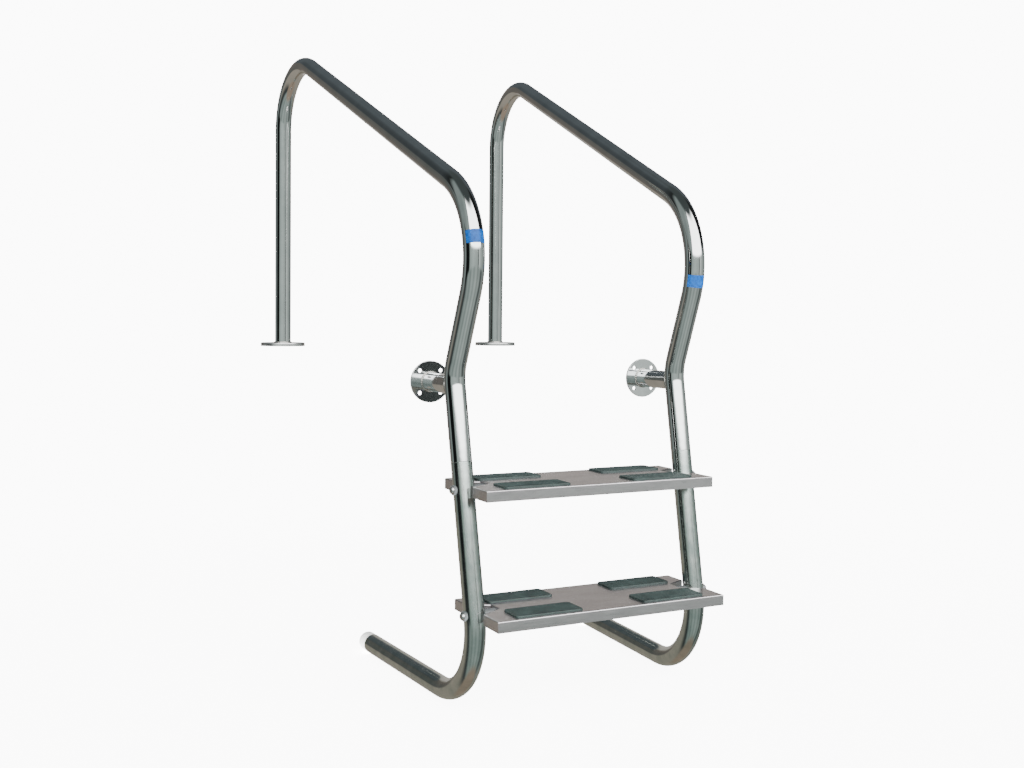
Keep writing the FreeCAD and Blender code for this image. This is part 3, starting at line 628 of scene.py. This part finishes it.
tube_steel = mirror_tube_steel()
leg_steel = dulled_tube_steel()
anchor_steel = mirror_plate_steel()
deck_steel = satin_plate_steel()
tread_steel = satin_sheet_steel()
screw_steel = fixing_steel()
bead_steel = weld_steel()
pad_rubber = moulded_rubber()
cap_plastic = white_polyethylene()
label_film = blue_vinyl()
bush_plastic = grey_nylon()

for side_name, side in SIDES.items():
    rail_line = centre_line(RAIL_START, RAIL_CORNERS, FOOT, JOINT_HEIGHT)
    rail = bent_tube(side_name + "_rail_tube", side, rail_line, tube_steel)
    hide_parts(side_name + "_handrail")
    leg_line = centre_line(LEG_START, LEG_CORNERS, KNEE, JOINT_HEIGHT)
    leg = bent_tube(side_name + "_leg_tube", side, leg_line, leg_steel)
    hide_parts(side_name + "_leg")

    slope = np.array([FOOT[0] - KNEE[0], FOOT[1] - KNEE[1]])
    down = slope / np.linalg.norm(slope)
    joint_reach = KNEE[0] + (JOINT_HEIGHT - KNEE[1]) / slope[1] * slope[0]
    for tube, offset in ((rail, -GRUB_OFFSET), (leg, GRUB_OFFSET)):
        reach, height = np.array([joint_reach, JOINT_HEIGHT]) + down * offset
        wallward = np.array([0.0, -down[1], -down[0]])
        middle = np.array([0.0, -reach, height])
        surface, inside = on_stringer(np.array([middle + wallward * TUBE_RADIUS, middle]), side)
        drill(tube, surface, inside - surface, GRUB_HOLE_RADIUS, GRUB_HOLE_DEPTH)

    post = (side * HALF_SPAN_AT_POST, 0.0, DECK_TOP + BEAD_LIFT)
    post_loop = circle_loop(post, (1, 0, 0), (0, 1, 0), TUBE_RADIUS + BEAD_GAP)
    weld_bead(side_name + "_deck_weld", [(*post_loop, DECK_BEAD_RADIUS)], bead_steel)
    flange = (side * LEG_SPACING / 2, WALL_FRONT - BEAD_LIFT, WALL_Z)
    flange_loop = circle_loop(flange, (1, 0, 0), (0, 0, 1), STANDOFF_RADIUS + BEAD_GAP)
    anchor_loops = [(*flange_loop, ANCHOR_BEAD_RADIUS), (*standoff_mouth(side), ANCHOR_BEAD_RADIUS)]
    weld_bead(side_name + "_anchor_weld", anchor_loops, bead_steel)
    cap = turned_cap(side_name + "_moulded_cap", side, cap_plastic)
    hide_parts(side_name + "_end_cap")
    for tread in ("upper", "lower"):
        for row in ("front", "rear"):
            rubber_pad("%s_%s_%s_ribbed_pad" % (tread, row, side_name),
                       "%s_pad_%s_%s" % (tread, row, side_name), pad_rubber)

# CAD nodes that show as they are, by how their names end
NODE_MATERIALS = {
    "deck_flange": deck_steel,
    "wall_flange": anchor_steel,
    "standoff": anchor_steel,
    "spigot": screw_steel,
    "label": label_film,
    "upper_tread": tread_steel,
    "lower_tread": tread_steel,
    "joint_screws": screw_steel,
    "tread_bolts": screw_steel,
    "tread_washers": screw_steel,
    "tread_nuts": screw_steel,
    "tread_saddles": bush_plastic,
    "tread_spacers": bush_plastic,
}
for node_name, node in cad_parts.items():
    for ending, material in NODE_MATERIALS.items():
        if node_name.endswith(ending):
            node.data.materials.clear()
            node.data.materials.append(material)


# ---------------------------------------------------------------- studio

def smooth_step(tree, value, low, high, first=0.0, last=1.0):
    """A number that eases from first to last as the value goes from low to high."""
    step = add_node(tree, "ShaderNodeMapRange", {"Value": value, "From Min": low, "From Max": high,
                                                 "To Min": first, "To Max": last},
                    interpolation_type="SMOOTHSTEP")
    return step.outputs["Result"]


def add_floor():
    """A pale floor just under the foot bends, faintly lit from within and faded out towards its edge."""
    mesh = bpy.data.meshes.new("floor")
    corners = [(-9, -9, FLOOR_Z), (9, -9, FLOOR_Z), (9, 9, FLOOR_Z), (-9, 9, FLOOR_Z)]
    mesh.from_pydata(corners, [], [(0, 1, 2, 3)])
    floor = bpy.data.objects.new("floor", mesh)
    bpy.context.scene.collection.objects.link(floor)
    material, tree = start_material("floor_paint")
    place = add_node(tree, "ShaderNodeTexCoord").outputs["Object"]
    middle = add_node(tree, "ShaderNodeMapping", {"Vector": place, "Location": (0.0, 0.8, -FLOOR_Z)})
    away = add_node(tree, "ShaderNodeVectorMath", {0: middle.outputs["Vector"]}, operation="LENGTH")
    end_material(tree, {
        "Base Color": linear("#F7F6F4"),
        "Roughness": 0.9,
        "Specular IOR Level": 0.1,
        "Emission Color": linear("#FFFFFF"),
        "Emission Strength": 9.0,
        "Alpha": smooth_step(tree, away.outputs["Value"], 0.9, 2.4, 1.0, 0.0),
    })
    mesh.materials.append(material)
    floor.visible_glossy = False


def add_softbox(name, place, aim, width, height, power):
    """A rectangular area lamp that lights the ladder but isn't seen in its steel. Power is in watts."""
    lamp = bpy.data.lights.new(name, "AREA")
    lamp.shape = "RECTANGLE"
    lamp.size, lamp.size_y = width, height
    lamp.energy = power
    box = bpy.data.objects.new(name, lamp)
    box.location = place
    box.rotation_mode = "QUATERNION"
    box.rotation_quaternion = (Vector(aim) - Vector(place)).to_track_quat("-Z", "Y")
    box.visible_glossy = False
    bpy.context.scene.collection.objects.link(box)


def add_ramp(tree, turn, stops):
    """A ramp of (place, hex colour) stops over the turn round Z."""
    node = add_node(tree, "ShaderNodeValToRGB", {"Fac": turn})
    elements = node.color_ramp.elements
    for element, (place, colour) in zip(elements, stops):
        element.position, element.color = place, linear(colour)
    for place, colour in stops[2:]:
        elements.new(place).color = linear(colour)
    return node.outputs["Color"]


def add_room():
    """A white studio. What polished steel mirrors is a room with a wide white window in front above the
    horizon, grey and black panels at eye level, a warm grey ground, and a dark ceiling behind.

    The turn round Z runs from 0 at -X through -Y, +X and +Y back to -X. Height is the Z of a unit
    direction; the edge between eye level and what is above it climbs by 0.15 towards the back.
    """
    world = bpy.data.worlds.new("studio")
    world.use_nodes = True
    tree = world.node_tree
    tree.nodes.clear()
    way = add_node(tree, "ShaderNodeTexCoord").outputs["Generated"]
    turn = add_node(tree, "ShaderNodeTexGradient", {"Vector": way}, gradient_type="RADIAL").outputs["Fac"]
    parts = add_node(tree, "ShaderNodeSeparateXYZ", {"Vector": way})
    height = parts.outputs["Z"]
    eye_level = add_ramp(tree, turn, [
        (0.0, "#050606"), (0.045, "#050606"), (0.07, "#4C5250"), (0.17, "#5B615F"), (0.27, "#535856"),
        (0.298, "#535856"), (0.306, "#141616"), (0.320, "#141616"), (0.330, "#6E7270"), (0.37, "#5C615F"),
        (0.44, "#484D4B"), (0.53, "#3A3E3D"), (0.56, "#101212"), (0.585, "#101212"), (0.62, "#5E5A56"),
        (0.74, "#5E5A56"), (0.77, "#332F2C"), (0.86, "#262827"), (0.93, "#404544"), (0.95, "#050606")])
    above = add_ramp(tree, turn, [
        (0.0, "#3E4342"), (0.065, "#4C5250"), (0.09, "#2C3030"), (0.105, "#FFFFFF"), (0.40, "#FFFFFF"),
        (0.415, "#080909"), (0.52, "#080909"), (0.56, "#25282A"), (0.80, "#25282A"), (0.89, "#0C0D0D"),
        (0.92, "#3E4342")])
    ground = add_ramp(tree, turn, [
        (0.0, "#2E3332"), (0.05, "#474D4B"), (0.10, "#3B413F"), (0.15, "#525856"), (0.20, "#424846"),
        (0.26, "#565B59"), (0.31, "#3F4442"), (0.36, "#4C514F"), (0.42, "#1B1D1D"), (0.47, "#3A3E3D"),
        (0.60, "#4A4640"), (0.90, "#4A4640"), (0.96, "#1A1C1C")])
    behind = add_node(tree, "ShaderNodeMath", {0: parts.outputs["Y"], 1: 0.0}, operation="MAXIMUM")
    lowered = add_node(tree, "ShaderNodeMath", {0: behind.outputs[0], 1: -0.15, 2: height},
                       operation="MULTIPLY_ADD").outputs[0]
    colour = mixed(tree, smooth_step(tree, height, -0.92, -0.80), linear("#4A4139"), ground)
    colour = mixed(tree, smooth_step(tree, height, -0.16, -0.08), colour, eye_level)
    colour = mixed(tree, smooth_step(tree, lowered, 0.19, 0.27), colour, above)
    colour = mixed(tree, smooth_step(tree, height, 0.80, 0.93), colour, linear("#1D2020"))
    mirrored = add_node(tree, "ShaderNodeBackground", {"Color": colour, "Strength": 6.0})
    backdrop = add_node(tree, "ShaderNodeBackground", {"Color": linear("#FFFFFF"), "Strength": 11.0})
    seen = add_node(tree, "ShaderNodeLightPath").outputs["Is Camera Ray"]
    light = add_node(tree, "ShaderNodeMixShader", {0: seen, 1: mirrored.outputs["Background"],
                                                   2: backdrop.outputs["Background"]})
    add_node(tree, "ShaderNodeOutputWorld", {"Surface": light.outputs["Shader"]})
    bpy.context.scene.world = world


def add_camera():
    """Stands in front of the ladder, a little to its left, at deck height, and looks slightly down."""
    yaw, pitch, roll = math.radians(26.8), math.radians(1.8), math.radians(-0.5)
    ahead = Vector((math.sin(yaw) * math.cos(pitch), math.cos(yaw) * math.cos(pitch), -math.sin(pitch)))
    level = Vector((math.cos(yaw), -math.sin(yaw), 0.0))
    below = ahead.cross(level)
    right = level * math.cos(roll) + below * math.sin(roll)
    up = level * math.sin(roll) - below * math.cos(roll)
    data = bpy.data.cameras.new("camera")
    data.sensor_width = 36.0
    data.lens = 40.2
    data.shift_x, data.shift_y = -0.0012, -0.0271
    camera = bpy.data.objects.new("camera", data)
    camera.matrix_world = Matrix.Translation((-1.1869, -3.1206, 0.0766)) @ \
        Matrix((right, up, -ahead)).transposed().to_4x4()
    bpy.context.scene.collection.objects.link(camera)
    bpy.context.scene.camera = camera


add_floor()
add_room()
add_softbox("front_softbox", (-0.3, -4.2, 1.9), (0.0, -0.9, -0.1), 2.6, 1.3, 22)
add_softbox("ceiling_wash", (0.0, -0.8, 4.5), (0.0, -0.8, 0.0), 7.0, 7.0, 130)
add_camera()
